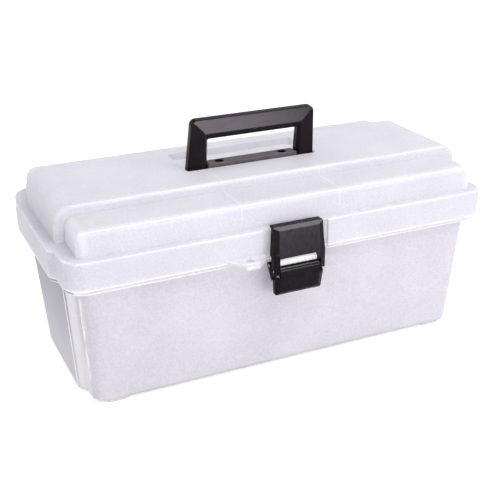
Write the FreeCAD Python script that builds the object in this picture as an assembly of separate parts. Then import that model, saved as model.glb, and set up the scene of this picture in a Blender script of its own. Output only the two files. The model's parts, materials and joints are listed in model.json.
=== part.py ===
"""Art supply box: a moulded tub and a hinged, stepped lid of frosted plastic,
with a folding carry handle on the lid and a two-part draw latch on the front.

Millimetres. X runs along the length, Y from front to back, Z up.
The origin is on the table, under the middle of the box.
"""
import FreeCAD, Part
import math
import os

V = FreeCAD.Vector
AXIS_X = V(1, 0, 0)
ON_PLANE = 1e-4

# Moulded walls and general clearances
WALL = 2.0
INNER_ROUND = 0.6
SEAT_GAP = 0.3
RUNNING_FIT = 0.06
SIDE_PLAY = 0.4

# Tub: block with drafted walls and a shallow bulge at each end
FOOT_HEIGHT = 1.5
TUB_HEIGHT = 93.2
TUB_LENGTH = 302.0
TUB_DEPTH = 146.0
END_DRAFT = 3.2
FRONT_DRAFT = 4.4
TUB_CORNER = 11.0
TUB_BOTTOM_EDGE = 3.0
TUB_BULGE = 6.2
BULGE_WIDTH = 92.0
BULGE_SLOPE = 1.6
BULGE_END_DRAFT = 4.0
BULGE_SIDE_DRAFT = 4.2
BULGE_CORNER = 2.2
BULGE_BOTTOM_EDGE = 2.2
BULGE_SINK = 2.0
LIP_HEIGHT = 7.0
RIM_THICKNESS = 2.5
RIM_SETBACK = 1.2
RIM_EDGE = 0.8
FOOT_LENGTH = 16.0
FOOT_WIDTH = 8.0
FOOT_CORNER = 3.2
FOOT_INSET_X = 17.0
FOOT_INSET_Y = 4.8

# Lid: skirt and ledge, lower shelf, raised crown
END_OVERHANG = 7.8
SIDE_OVERHANG = 6.1
LID_CORNER_STEP = 3.8
SKIRT_HEIGHT = 20.2
SKIRT_CORNER = 15.0
LEDGE_WIDTH = 6.4
LEDGE_EDGE = 2.4
SHELF_END_SETBACK = 14.0
SHELF_HEIGHT = 18.3
SHELF_END_ROUND = 8.0
SHELF_FRONT_ROUND = 5.0
SHELF_TREAD = 30.9
CROWN_END_SETBACK = 7.7
CROWN_RISE = 7.0
CROWN_END_ROUND = 12.0
CROWN_FRONT_ROUND = 3.2
RIB_SPACING = 75.2
RIB_THICKNESS = 1.6
RIB_DEPTH = 4.0
RIB_FOOT_ABOVE_LEDGE = 7.0

# Hinge at the back: pin knuckles on tub and lid
HINGE_SPACING = 190.0
HINGE_STAND_OFF = 5.6
HINGE_DROP = 0.7
KNUCKLE_RADIUS = 4.5
KNUCKLE_LENGTH = 16.0
SIDE_KNUCKLE_LENGTH = 10.0
HINGE_PIN_RADIUS = 1.5
PIN_CHAMFER = 0.4

# Handle, its strap and screws, in a pocket of the crown
HANDLE_FOOT_WIDTH = 102.4
HANDLE_TOP_WIDTH = 96.6
HANDLE_RISE = 37.2
HANDLE_WINDOW_WIDTH = 72.0
HANDLE_WINDOW_TOP = 22.0
HANDLE_CORNER = 4.5
HANDLE_LEAN = 7.5
HANDLE_WINDOW_CORNER = 1.5
HANDLE_BEVEL_DEPTH = 2.6
HANDLE_BEVEL_WIDTH = 10.0
HANDLE_WINDOW_BEVEL = 2.0
HANDLE_BROW = 4.8
HANDLE_EDGE = 2.2
PIVOT_Y = -6.1
PIVOT_RADIUS = 4.6
GRIP_BACK = 4.6
STUB_RADIUS = 1.8
STUB_LENGTH = 6.0
POCKET_DEPTH = 5.0
POCKET_CLEARANCE = 0.7
POCKET_CORNER = 2.0
STRAP_ABOVE_CROWN = 3.0
STRAP_WIDTH = 9.8
STRAP_EDGE = 1.2
SCREW_SPACING = 50.8
SCREW_RADIUS = 1.8
SCREW_HEAD_RADIUS = 3.4
SCREW_HEAD_HEIGHT = 2.0
SCREW_HEAD_PLAY = 0.25
SCREW_LENGTH = 13.0
SCREW_BOSS_RADIUS = 4.0
SCREW_BOSS_LENGTH = 7.0

# Latch: lever hinged on the tub, hook plate hinged on the lever
LATCH_STAND_OFF = 7.9
LATCH_BARREL_RADIUS = 3.2
LATCH_PIN_RADIUS = 1.3
LATCH_SKIN = 2.6
LATCH_SIDE = 2.4
LATCH_BEVEL_WIDTH = 3.6
LATCH_BEVEL_DEPTH = 1.7
LEVER_PIVOT_SETBACK = 2.2
LEVER_PIVOT_DROP = 7.8
LEVER_WIDTH = 37.4
LEVER_TIP_WIDTH = 36.0
LEVER_TIP_CORNER = 1.4
LEVER_TIP_BEVEL_DEPTH = 1.2
LEVER_TIP_BEVEL_RISE = 1.7
LEVER_LENGTH = 18.6
LEVER_LEAN = 2.4
LEVER_SIDE_DEPTH = 6.5
LEVER_SHOULDER_GAP = 1.6
LUG_WIDTH = 33.0
LUG_RADIUS = 3.7
EAR_RADIUS = 2.6
EAR_THICKNESS = 2.4
EAR_HALF_HEIGHT = 1.6
EAR_ROOT_DROP = 2.4
EAR_ROOT_DEPTH = 1.2
HOOK_PIVOT_DROP = 9.8
HOOK_WIDTH = 39.6
HOOK_TOP_WIDTH = 37.6
HOOK_ARM = 4.0
HOOK_LEAN = 2.4
HOOK_SIDE_DEPTH = 8.5
HOOK_CHAMFER = 2.4
HOOK_LIP_THICKNESS = 1.6
HOOK_LIP_TIP = 3.4
WINDOW_ABOVE_PIVOT = 9.9
RECESS_WIDTH = 50.4
RECESS_DEPTH = 1.2

# Padlock tab beside the latch, one ply on the lid and one on the tub
TAB_CENTRE = -37.0
TAB_TIP_WIDTH = 10.0
TAB_REACH = 10.1
TAB_PLY = 2.4
TAB_HOLE_RADIUS = 3.0
TAB_HOLE_REACH = 5.2
TAB_LATCH_GAP = 1.5

# Levels and planes that follow from the sizes above
LID_LENGTH = TUB_LENGTH + 2 * (TUB_BULGE + END_OVERHANG)
LID_DEPTH = TUB_DEPTH + 2 * SIDE_OVERHANG
SHELF_LENGTH = LID_LENGTH - 2 * SHELF_END_SETBACK
SHELF_DEPTH = LID_DEPTH - 2 * LEDGE_WIDTH
CROWN_LENGTH = LID_LENGTH - 2 * CROWN_END_SETBACK
CROWN_DEPTH = SHELF_DEPTH - 2 * SHELF_TREAD
SKIRT_BOTTOM = TUB_HEIGHT + SEAT_GAP
LEDGE_Z = SKIRT_BOTTOM + SKIRT_HEIGHT
SHELF_Z = LEDGE_Z + SHELF_HEIGHT
CROWN_Z = SHELF_Z + CROWN_RISE
LIP_TOP = TUB_HEIGHT + LIP_HEIGHT
RIM_BOTTOM = TUB_HEIGHT - RIM_THICKNESS
SKIRT_FRONT = -LID_DEPTH / 2
RECESS_FRONT = SKIRT_FRONT + RECESS_DEPTH
SHELF_FRONT = -SHELF_DEPTH / 2
HINGE_Y = LID_DEPTH / 2 + HINGE_STAND_OFF
HINGE_Z = SKIRT_BOTTOM - HINGE_DROP
POCKET_FLOOR = CROWN_Z - POCKET_DEPTH
PIVOT_Z = POCKET_FLOOR + PIVOT_RADIUS + SEAT_GAP
HANDLE_TOP = CROWN_Z + HANDLE_RISE
HANDLE_FRONT = PIVOT_Y - PIVOT_RADIUS
POCKET_FRONT = HANDLE_FRONT - POCKET_CLEARANCE
POCKET_BACK = PIVOT_Y + HANDLE_TOP - PIVOT_Z + POCKET_CLEARANCE
STRAP_TOP = CROWN_Z + STRAP_ABOVE_CROWN
SCREW_SEAT = STRAP_TOP - SCREW_HEAD_HEIGHT - SEAT_GAP
LATCH_FRONT = SKIRT_FRONT - LATCH_STAND_OFF
LEVER_PIVOT = V(0, SKIRT_FRONT + LEVER_PIVOT_SETBACK, SKIRT_BOTTOM - LEVER_PIVOT_DROP)
HOOK_PIVOT = V(0, LATCH_FRONT + LATCH_BARREL_RADIUS, SKIRT_BOTTOM - HOOK_PIVOT_DROP)
HOOK_UNDERSIDE = LEDGE_Z + SEAT_GAP
HOOK_TOP = HOOK_UNDERSIDE + HOOK_LIP_THICKNESS
WINDOW_TOP = HOOK_PIVOT.z + WINDOW_ABOVE_PIVOT
LEVER_BOTTOM = HOOK_PIVOT.z - LEVER_LENGTH


def span_box(x0, x1, y0, y1, z0, z1):
    """Box between two corners."""
    return Part.makeBox(x1 - x0, y1 - y0, z1 - z0, V(x0, y0, z0))


def rod(radius, x0, x1, at):
    """Round bar along X through the point at."""
    return Part.makeCylinder(radius, x1 - x0, V(x0, at.y, at.z), AXIS_X)


def outline(points):
    """Closed polygon through the points."""
    return Part.makePolygon(points + points[:1])


def prism(points, travel):
    """Flat polygon pushed along a vector."""
    return Part.Face(outline(points)).extrude(travel)


def side_span(side, near, far):
    """X span between two distances from the middle, on the left or the right."""
    return (near, far) if side > 0 else (-far, -near)


def upright_edges(solid):
    """Edges that climb from bottom to top, as the corners of a drafted block."""
    box = solid.BoundBox
    return [e for e in solid.Edges if e.BoundBox.ZLength > 0.9 * box.ZLength]


def edges_at(solid, level):
    """Edges that lie in the horizontal plane at one level."""
    found = []
    for edge in solid.Edges:
        box = edge.BoundBox
        if abs(box.ZMin - level) < ON_PLANE and abs(box.ZMax - level) < ON_PLANE:
            found.append(edge)
    return found


def cross_edges(solid, level):
    """Edges along Y that lie at one level, as the corners of a plate seen from the front."""
    return [e for e in edges_at(solid, level) if e.BoundBox.XLength < ON_PLANE]


def outline_edges(solid, y):
    """Edges of the flat face that closes a solid at one Y."""
    found = []
    for edge in solid.Edges:
        box = edge.BoundBox
        if abs(box.YMin - y) < ON_PLANE and abs(box.YMax - y) < ON_PLANE:
            found.append(edge)
    return found


def eased(radius, inset):
    """Radius of a rounding seen from inside the wall."""
    return max(radius - inset, INNER_ROUND)


def joined(solids):
    """One solid from touching pieces."""
    return solids[0].multiFuse(solids[1:]).removeSplitter()


def drawn_in(half, draft, z):
    """Half size of a drafted wall below the rim, where its size is given."""
    return half - (TUB_HEIGHT - z) * math.tan(math.radians(draft))


def rectangle(half_x, half_y, z):
    """Corners of a block's plan."""
    return [V(-half_x, -half_y, z), V(half_x, -half_y, z), V(half_x, half_y, z), V(-half_x, half_y, z)]


def bulge_plan(half_x, half_flat, step, z):
    """Plan of a pair of end bulges: flats whose corners slope back into the block's ends."""
    reach = BULGE_SINK * step
    x = half_x - reach
    y = half_flat + BULGE_SLOPE * reach
    return [V(-half_x, -half_flat, z), V(-x, -y, z), V(x, -y, z), V(half_x, -half_flat, z),
            V(half_x, half_flat, z), V(x, y, z), V(-x, y, z), V(-half_x, half_flat, z)]


def bulge_flat(inset):
    """Half width of a bulge's flat end, for an even wall behind its sloping corners."""
    return BULGE_WIDTH / 2 - inset * (math.hypot(1, BULGE_SLOPE) - BULGE_SLOPE)


def drafted_block(low, high, corner, bottom_edge):
    """Block between two plans, with round corners and a rounded bottom edge."""
    block = Part.makeLoft([outline(low), outline(high)], True, True)
    block = block.makeFillet(corner, upright_edges(block))
    return block.makeFillet(bottom_edge, edges_at(block, low[0].z))


def tub_form(inset, z0, z1):
    """The tub's outside, or its inside when inset by the wall."""
    half_x = TUB_LENGTH / 2 - inset
    half_y = TUB_DEPTH / 2 - inset
    plans = []
    bulges = []
    for z in (z0, z1):
        plans.append(rectangle(drawn_in(half_x, END_DRAFT, z), drawn_in(half_y, FRONT_DRAFT, z), z))
        bulges.append(bulge_plan(drawn_in(half_x + TUB_BULGE, BULGE_END_DRAFT, z),
                                 drawn_in(bulge_flat(inset), BULGE_SIDE_DRAFT, z), TUB_BULGE, z))
    block = drafted_block(plans[0], plans[1], eased(TUB_CORNER, inset), eased(TUB_BOTTOM_EDGE, inset))
    ends = drafted_block(bulges[0], bulges[1], eased(BULGE_CORNER, inset), eased(BULGE_BOTTOM_EDGE, inset))
    return joined([block, ends])


def plan_slab(plan, z1, corner, top_edge):
    """Upright slab with round corners and a rounded top edge."""
    slab = prism(plan, V(0, 0, z1 - plan[0].z))
    slab = slab.makeFillet(corner, upright_edges(slab))
    return slab.makeFillet(top_edge, edges_at(slab, z1))


def skirt_form(inset, z0, z1, top_edge):
    """Plan of the lid's skirt: long block with stepped corners and end bulges."""
    half_x = LID_LENGTH / 2 - inset
    block = plan_slab(rectangle(half_x - LID_CORNER_STEP, LID_DEPTH / 2 - inset, z0), z1,
                      eased(SKIRT_CORNER, inset), top_edge)
    ends = plan_slab(bulge_plan(half_x, bulge_flat(inset), LID_CORNER_STEP, z0), z1,
                     eased(BULGE_CORNER, inset), top_edge)
    return joined([block, ends])


def loaf(half_x, half_y, z0, z1, end_round, front_round):
    """Raised block: ends rolled over in a large arc, front and back in a small one."""
    arc = end_round * (1 - math.sqrt(0.5))
    left = Part.Arc(V(-half_x, -half_y, z1 - end_round), V(-half_x + arc, -half_y, z1 - arc),
                    V(-half_x + end_round, -half_y, z1))
    right = Part.Arc(V(half_x - end_round, -half_y, z1), V(half_x - arc, -half_y, z1 - arc),
                     V(half_x, -half_y, z1 - end_round))
    corners = [V(half_x, -half_y, z0), V(-half_x, -half_y, z0)]
    edges = [
        left.toShape(),
        Part.makeLine(left.EndPoint, right.StartPoint),
        right.toShape(),
        Part.makeLine(right.EndPoint, corners[0]),
        Part.makeLine(corners[0], corners[1]),
        Part.makeLine(corners[1], left.StartPoint),
    ]
    block = Part.Face(Part.Wire(edges)).extrude(V(0, 2 * half_y, 0))
    rolled = [e for e in outline_edges(block, -half_y) + outline_edges(block, half_y)
              if e.BoundBox.ZMax > z0 + ON_PLANE]
    return block.makeFillet(front_round, rolled)


def pocket(grow):
    """Room for the folded handle, cut down into the crown."""
    half_x = HANDLE_FOOT_WIDTH / 2 + POCKET_CLEARANCE + grow
    well = span_box(-half_x, half_x, POCKET_FRONT - grow, POCKET_BACK + grow,
                    POCKET_FLOOR - grow, CROWN_Z + WALL)
    return well.makeFillet(POCKET_CORNER + grow, upright_edges(well))


def latch_recess(grow):
    """Flat set back into the skirt behind the latch."""
    half_x = RECESS_WIDTH / 2 + grow
    return span_box(-half_x, half_x, SKIRT_FRONT - WALL, RECESS_FRONT + grow,
                    SKIRT_BOTTOM - WALL, LEDGE_Z + WALL)


def lid_form(inset):
    """The lid's outside, or its inside when inset by the wall."""
    z0 = SKIRT_BOTTOM - inset
    skirt = skirt_form(inset, z0, LEDGE_Z - inset, eased(LEDGE_EDGE, inset))
    skirt = skirt.cut(latch_recess(inset))
    shelf = loaf(SHELF_LENGTH / 2 - inset, SHELF_DEPTH / 2 - inset, z0, SHELF_Z - inset,
                 eased(SHELF_END_ROUND, inset), eased(SHELF_FRONT_ROUND, inset))
    crown = loaf(CROWN_LENGTH / 2 - inset, CROWN_DEPTH / 2 - inset, z0, CROWN_Z - inset,
                 eased(CROWN_END_ROUND, inset), eased(CROWN_FRONT_ROUND, inset))
    return joined([skirt, shelf, crown]).cut(pocket(inset))


def padlock_tab(z0, z1, root_y):
    """Flat ear with a shackle hole; its sides slope at 45 degrees."""
    tip_y = SKIRT_FRONT - TAB_REACH
    tip = TAB_TIP_WIDTH / 2
    root = tip + TAB_REACH
    ear = prism([V(TAB_CENTRE - root, root_y, z0), V(TAB_CENTRE - root, SKIRT_FRONT, z0),
                 V(TAB_CENTRE - tip, tip_y, z0), V(TAB_CENTRE + tip, tip_y, z0),
                 V(TAB_CENTRE + root, SKIRT_FRONT, z0), V(TAB_CENTRE + root, root_y, z0)], V(0, 0, z1 - z0))
    beside_latch = span_box(-HOOK_WIDTH / 2 - TAB_LATCH_GAP, 0, tip_y, root_y, z0, z1)
    hole_at = V(TAB_CENTRE, SKIRT_FRONT - TAB_HOLE_REACH, z0)
    return ear.cut([beside_latch, Part.makeCylinder(TAB_HOLE_RADIUS, z1 - z0, hole_at)])


def hinge_point(side):
    """Middle of one hinge, on the pin's axis."""
    return V(side * HINGE_SPACING / 2, HINGE_Y, HINGE_Z)


def side_knuckle_spans(x):
    """X spans of the two tub knuckles of a hinge, either side of the lid's one."""
    near = KNUCKLE_LENGTH / 2 + SIDE_KNUCKLE_LENGTH + SIDE_PLAY
    return [(x - near, x - near + SIDE_KNUCKLE_LENGTH), (x + near - SIDE_KNUCKLE_LENGTH, x + near)]


def tub_knuckles():
    """Hinge knuckles of the tub, each on a bracket under the rim."""
    pieces = []
    for side in (-1, 1):
        at = hinge_point(side)
        for x0, x1 in side_knuckle_spans(at.x):
            bracket = span_box(x0, x1, TUB_DEPTH / 2 - WALL / 2, HINGE_Y,
                               HINGE_Z - KNUCKLE_RADIUS, TUB_HEIGHT - SEAT_GAP)
            pieces += [bracket, rod(KNUCKLE_RADIUS, x0, x1, at)]
    return pieces


def lid_knuckles():
    """Hinge knuckles of the lid, each on a bracket on the back of the skirt."""
    pieces = []
    for side in (-1, 1):
        at = hinge_point(side)
        x0 = at.x - KNUCKLE_LENGTH / 2
        x1 = at.x + KNUCKLE_LENGTH / 2
        bracket = span_box(x0, x1, LID_DEPTH / 2 - WALL / 2, HINGE_Y,
                           SKIRT_BOTTOM + SEAT_GAP, HINGE_Z + KNUCKLE_RADIUS)
        pieces += [bracket, rod(KNUCKLE_RADIUS, x0, x1, at)]
    return pieces


def hinge_bores():
    """Pin holes through all the knuckles."""
    reach = KNUCKLE_LENGTH / 2 + SIDE_KNUCKLE_LENGTH + 2 * SIDE_PLAY
    holes = []
    for side in (-1, 1):
        at = hinge_point(side)
        holes.append(rod(HINGE_PIN_RADIUS + RUNNING_FIT, at.x - reach, at.x + reach, at))
    return holes


def pin(radius, half_length, at):
    """Steel pin along X with chamfered ends."""
    bar = rod(radius, at.x - half_length, at.x + half_length, at)
    return bar.makeChamfer(PIN_CHAMFER, [e for e in bar.Edges if e.BoundBox.XLength < ON_PLANE])


def strut(x0, x1, start, end, half_height):
    """Plate across X that runs between two points of the YZ plane."""
    along = V(0, end.y - start.y, end.z - start.z)
    across = V(0, -along.z, along.y).normalize() * half_height
    base = V(x0, start.y, start.z)
    return prism([base + across, base + along + across, base + along - across, base - across],
                 V(x1 - x0, 0, 0))


def latch_lug():
    """Bar under the rim that carries the lever's pin."""
    wall = V(0, WALL / 2 - drawn_in(TUB_DEPTH / 2, FRONT_DRAFT, LEVER_PIVOT.z), LEVER_PIVOT.z)
    half_x = LUG_WIDTH / 2
    return [strut(-half_x, half_x, wall, LEVER_PIVOT, LUG_RADIUS),
            rod(LUG_RADIUS, -half_x, half_x, LEVER_PIVOT)]


def tub_feet():
    """Four low pads under the corners of the floor."""
    half_x = drawn_in(TUB_LENGTH / 2, END_DRAFT, FOOT_HEIGHT)
    half_y = drawn_in(TUB_DEPTH / 2, FRONT_DRAFT, FOOT_HEIGHT)
    pads = []
    for side in (-1, 1):
        for end in (-1, 1):
            x = side * (half_x - FOOT_INSET_X)
            y = end * (half_y - FOOT_INSET_Y)
            pad = span_box(x - FOOT_LENGTH / 2, x + FOOT_LENGTH / 2, y - FOOT_WIDTH / 2,
                           y + FOOT_WIDTH / 2, 0, FOOT_HEIGHT + TUB_BOTTOM_EDGE / 2)
            pads.append(pad.makeFillet(FOOT_CORNER, upright_edges(pad)))
    return pads


def base_tub():
    """Open tub with rim, locating lip, feet, latch lug and hinge knuckles."""
    outside = tub_form(0, FOOT_HEIGHT, LIP_TOP)
    rim = skirt_form(RIM_SETBACK, RIM_BOTTOM, TUB_HEIGHT, RIM_EDGE)
    rim = rim.cut(latch_recess(RIM_SETBACK).translated(V(0, 0, -SKIRT_HEIGHT)))
    tab = padlock_tab(TUB_HEIGHT - TAB_PLY, TUB_HEIGHT, -TUB_DEPTH / 2)
    tub = joined([outside, rim, tab] + tub_feet() + tub_knuckles() + latch_lug())
    tub = tub.cut(tub_form(WALL, FOOT_HEIGHT + WALL, LIP_TOP + WALL))
    lever_bore = rod(LATCH_PIN_RADIUS + RUNNING_FIT, -LUG_WIDTH, LUG_WIDTH, LEVER_PIVOT)
    return tub.cut(hinge_bores() + [lever_bore])


def screw_holes():
    """Holes for the two handle screws, down through strap, floor and bosses."""
    holes = []
    for side in (-1, 1):
        at = V(side * SCREW_SPACING / 2, PIVOT_Y, SCREW_SEAT - SCREW_LENGTH - SEAT_GAP)
        holes.append(Part.makeCylinder(SCREW_RADIUS + RUNNING_FIT, STRAP_TOP - at.z, at))
    return holes


def lid_shell():
    """Stepped lid: thin shell with ribs, handle pocket, screw bosses and knuckles."""
    inside = lid_form(WALL)
    shell = lid_form(0).cut(inside)
    rib_zone = inside.cut(lid_form(WALL + RIB_DEPTH))
    pieces = [shell, padlock_tab(SKIRT_BOTTOM, SKIRT_BOTTOM + TAB_PLY, SKIRT_FRONT + WALL / 2)]
    for side in (-1, 1):
        x = side * RIB_SPACING / 2
        slab = span_box(x - RIB_THICKNESS / 2, x + RIB_THICKNESS / 2, -LID_DEPTH, LID_DEPTH,
                        LEDGE_Z + RIB_FOOT_ABOVE_LEDGE, CROWN_Z)
        pieces += rib_zone.common(slab).Solids
        boss_at = V(side * SCREW_SPACING / 2, PIVOT_Y, POCKET_FLOOR - WALL - SCREW_BOSS_LENGTH)
        pieces.append(Part.makeCylinder(SCREW_BOSS_RADIUS, SCREW_BOSS_LENGTH + WALL / 2, boss_at))
    lid = joined(pieces + lid_knuckles())
    return lid.cut(screw_holes() + hinge_bores())


def handle_strap():
    """Bar between the handle's feet, screwed to the lid; its ends hold the pivots."""
    half_x = HANDLE_WINDOW_WIDTH / 2 - SEAT_GAP
    bar = span_box(-half_x, half_x, PIVOT_Y - STRAP_WIDTH / 2, PIVOT_Y + STRAP_WIDTH / 2,
                   POCKET_FLOOR, STRAP_TOP)
    bar = bar.makeFillet(STRAP_EDGE, edges_at(bar, STRAP_TOP))
    cuts = screw_holes()
    for side in (-1, 1):
        x0, x1 = side_span(side, half_x - STUB_LENGTH, half_x)
        cuts.append(rod(STUB_RADIUS + RUNNING_FIT, x0, x1, V(0, PIVOT_Y, PIVOT_Z)))
        seat = V(side * SCREW_SPACING / 2, PIVOT_Y, SCREW_SEAT)
        cuts.append(Part.makeCylinder(SCREW_HEAD_RADIUS + SCREW_HEAD_PLAY, STRAP_TOP - SCREW_SEAT, seat))
    return bar.cut(cuts)


def handle_screws():
    """Two pan-head screws that hold the strap down."""
    screws = []
    for side in (-1, 1):
        seat = V(side * SCREW_SPACING / 2, PIVOT_Y, SCREW_SEAT)
        head = Part.makeCylinder(SCREW_HEAD_RADIUS, SCREW_HEAD_HEIGHT, seat)
        head = head.makeFillet(SCREW_HEAD_HEIGHT / 2, edges_at(head, SCREW_SEAT + SCREW_HEAD_HEIGHT))
        shank = Part.makeCylinder(SCREW_RADIUS, SCREW_LENGTH, seat - V(0, 0, SCREW_LENGTH))
        screws.append(joined([head, shank]))
    return Part.makeCompound(screws)


def handle_outline(y, inset):
    """Outline of the hoop at one depth, drawn in at its sides and top."""
    foot = HANDLE_FOOT_WIDTH / 2 - inset
    top = HANDLE_TOP_WIDTH / 2 - inset
    bottom = PIVOT_Z - PIVOT_RADIUS
    rise = HANDLE_TOP - inset
    return [V(-foot, y, bottom), V(foot, y, bottom), V(top, y, rise), V(-top, y, rise)]


def window_outline(y, side_grow, top_grow):
    """Outline of the finger window at one depth, open at the bottom."""
    half = HANDLE_WINDOW_WIDTH / 2 + side_grow
    bottom = PIVOT_Z - PIVOT_RADIUS
    top = CROWN_Z + HANDLE_WINDOW_TOP + top_grow
    return [V(-half, y, bottom), V(half, y, bottom), V(half, y, top), V(-half, y, top)]


def handle_grip():
    """Hoop handle: bevelled like a picture frame in front, leaning forward on its pivot stubs."""
    front = HANDLE_FRONT
    bevel = front + HANDLE_BEVEL_DEPTH
    back = PIVOT_Y + GRIP_BACK
    bottom = PIVOT_Z - PIVOT_RADIUS
    slab = prism(handle_outline(front, 0), V(0, back - front, 0))
    slab = slab.makeFillet(HANDLE_CORNER, cross_edges(slab, HANDLE_TOP))
    frame = Part.makeLoft([outline(handle_outline(front, HANDLE_BEVEL_WIDTH)),
                           outline(handle_outline(bevel, 0))], True, True)
    rear = prism(handle_outline(bevel, 0), V(0, back - bevel, 0))
    hoop = slab.common(joined([frame, rear]))
    flare = Part.makeLoft([outline(window_outline(front, HANDLE_WINDOW_BEVEL, HANDLE_BROW)),
                           outline(window_outline(bevel, 0, 0))], True, True)
    window = prism(window_outline(front, 0, 0), V(0, back - front, 0))
    window = window.makeFillet(HANDLE_WINDOW_CORNER, cross_edges(window, CROWN_Z + HANDLE_WINDOW_TOP))
    hoop = hoop.cut([flare, window])
    rims = [e for e in outline_edges(hoop, back) if e.BoundBox.ZMax > bottom + ON_PLANE]
    hoop = hoop.makeFillet(HANDLE_EDGE, rims)
    at = V(0, PIVOT_Y, PIVOT_Z)
    foot = HANDLE_FOOT_WIDTH / 2
    below = span_box(-foot, foot, front, back, bottom, PIVOT_Z)
    pieces = [hoop.cut(below.cut(rod(PIVOT_RADIUS, -foot, foot, at)))]
    for side in (-1, 1):
        inner = HANDLE_WINDOW_WIDTH / 2
        x0, x1 = side_span(side, inner - STUB_LENGTH, inner + HANDLE_WINDOW_BEVEL)
        pieces.append(rod(STUB_RADIUS, x0, x1, at))
    return joined(pieces).rotate(at, AXIS_X, HANDLE_LEAN)


def latch_cover(low, high, back):
    """Moulded cover open at the back; each end is a half width, a front and a level."""
    outer = []
    inner = []
    for half_x, front, z in (low, high):
        flat = half_x - LATCH_BEVEL_WIDTH
        bevel = front + LATCH_BEVEL_DEPTH
        wall = half_x - LATCH_SIDE
        skin = front + LATCH_SKIN
        outer.append(outline([V(-half_x, back, z), V(-half_x, bevel, z), V(-flat, front, z),
                              V(flat, front, z), V(half_x, bevel, z), V(half_x, back, z)]))
        inner.append(outline([V(-wall, back, z), V(-wall, skin, z), V(wall, skin, z), V(wall, back, z)]))
    return Part.makeLoft(outer, True, True).cut(Part.makeLoft(inner, True, True))


def latch_lever():
    """Lever: finger plate, barrel for the hook's pin and two ears back to the tub's pin."""
    half_x = LEVER_WIDTH / 2
    tip = LEVER_TIP_WIDTH / 2
    shoulder = HOOK_PIVOT.z - LATCH_BARREL_RADIUS - LEVER_SHOULDER_GAP
    tip_front = LATCH_FRONT + LEVER_LEAN
    back = LATCH_FRONT + LEVER_SIDE_DEPTH
    plate = latch_cover((tip, tip_front, LEVER_BOTTOM), (half_x, LATCH_FRONT, shoulder), back)
    sill = span_box(LATCH_SIDE - tip, tip - LATCH_SIDE, tip_front + LATCH_SKIN / 2, back,
                    LEVER_BOTTOM, LEVER_BOTTOM + LATCH_SIDE)
    corners = [e for e in cross_edges(plate, LEVER_BOTTOM) if abs(e.BoundBox.Center.x) > tip - ON_PLANE]
    plate = plate.makeFillet(LEVER_TIP_CORNER, corners)
    barrel = HOOK_WIDTH / 2 - HOOK_ARM - SIDE_PLAY
    neck = span_box(-barrel, barrel, LATCH_FRONT, LATCH_FRONT + LATCH_SKIN, shoulder, HOOK_PIVOT.z)
    bevel_back = tip_front + LEVER_TIP_BEVEL_DEPTH
    bevel_slope = LEVER_TIP_BEVEL_RISE / LEVER_TIP_BEVEL_DEPTH
    bevel_top = LEVER_BOTTOM + bevel_slope * (bevel_back - LATCH_FRONT)
    bevel = prism([V(-half_x, LATCH_FRONT, LEVER_BOTTOM), V(-half_x, bevel_back, LEVER_BOTTOM),
                   V(-half_x, LATCH_FRONT, bevel_top)], V(LEVER_WIDTH, 0, 0))
    finger_plate = joined([plate, sill]).cut(bevel)
    pieces = [finger_plate, neck, rod(LATCH_BARREL_RADIUS, -barrel, barrel, HOOK_PIVOT)]
    root = V(0, back - EAR_ROOT_DEPTH, shoulder - EAR_ROOT_DROP)
    for side in (-1, 1):
        x0, x1 = side_span(side, HOOK_WIDTH / 2 - EAR_THICKNESS, HOOK_WIDTH / 2)
        pieces.append(strut(x0, x1, root, LEVER_PIVOT, EAR_HALF_HEIGHT))
        pieces.append(rod(EAR_RADIUS, x0, x1, LEVER_PIVOT))
    hole = LATCH_PIN_RADIUS + RUNNING_FIT
    bores = [rod(hole, -half_x - hole, half_x + hole, LEVER_PIVOT), rod(hole, -barrel, barrel, HOOK_PIVOT)]
    return joined(pieces).cut(bores)


def latch_hook_plate():
    """Hook plate: cover with a lip over the lid's ledge and two arms down to the pin."""
    half_x = HOOK_WIDTH / 2
    top = HOOK_TOP_WIDTH / 2
    crest = LATCH_FRONT + HOOK_LEAN
    pieces = [
        latch_cover((half_x, LATCH_FRONT, WINDOW_TOP), (top, crest, HOOK_TOP), LATCH_FRONT + HOOK_SIDE_DEPTH),
        span_box(-top, top, crest + LATCH_SKIN, SHELF_FRONT - HOOK_LIP_TIP, HOOK_UNDERSIDE, HOOK_TOP),
    ]
    above = V(0, HOOK_PIVOT.y, WINDOW_TOP + LATCH_SIDE)
    bevels = []
    for side in (-1, 1):
        x0, x1 = side_span(side, half_x - HOOK_ARM, half_x)
        pieces.append(strut(x0, x1, HOOK_PIVOT, above, LATCH_BARREL_RADIUS))
        pieces.append(rod(LATCH_BARREL_RADIUS, x0, x1, HOOK_PIVOT))
        foot = HOOK_PIVOT.z - LATCH_BARREL_RADIUS
        bevels.append(prism([V(side * half_x, LATCH_FRONT, foot),
                             V(side * (half_x - LATCH_BEVEL_WIDTH), LATCH_FRONT, foot),
                             V(side * half_x, LATCH_FRONT + LATCH_BEVEL_DEPTH, foot)],
                            V(0, 0, above.z - foot)))
    hook = joined(pieces).cut(bevels)
    brow = [e for e in edges_at(hook, HOOK_TOP) if e.BoundBox.YMax < crest + ON_PLANE]
    hook = hook.makeChamfer(HOOK_CHAMFER, brow)
    return hook.cut(rod(LATCH_PIN_RADIUS + RUNNING_FIT, -half_x, half_x, HOOK_PIVOT))


def hinge_pin(side):
    """Steel hinge pin through three knuckles."""
    return pin(HINGE_PIN_RADIUS, KNUCKLE_LENGTH / 2 + SIDE_KNUCKLE_LENGTH + SIDE_PLAY, hinge_point(side))


def lever_pin():
    """Steel pin through the tub's lug and the lever's ears."""
    return pin(LATCH_PIN_RADIUS, HOOK_WIDTH / 2, LEVER_PIVOT)


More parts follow.
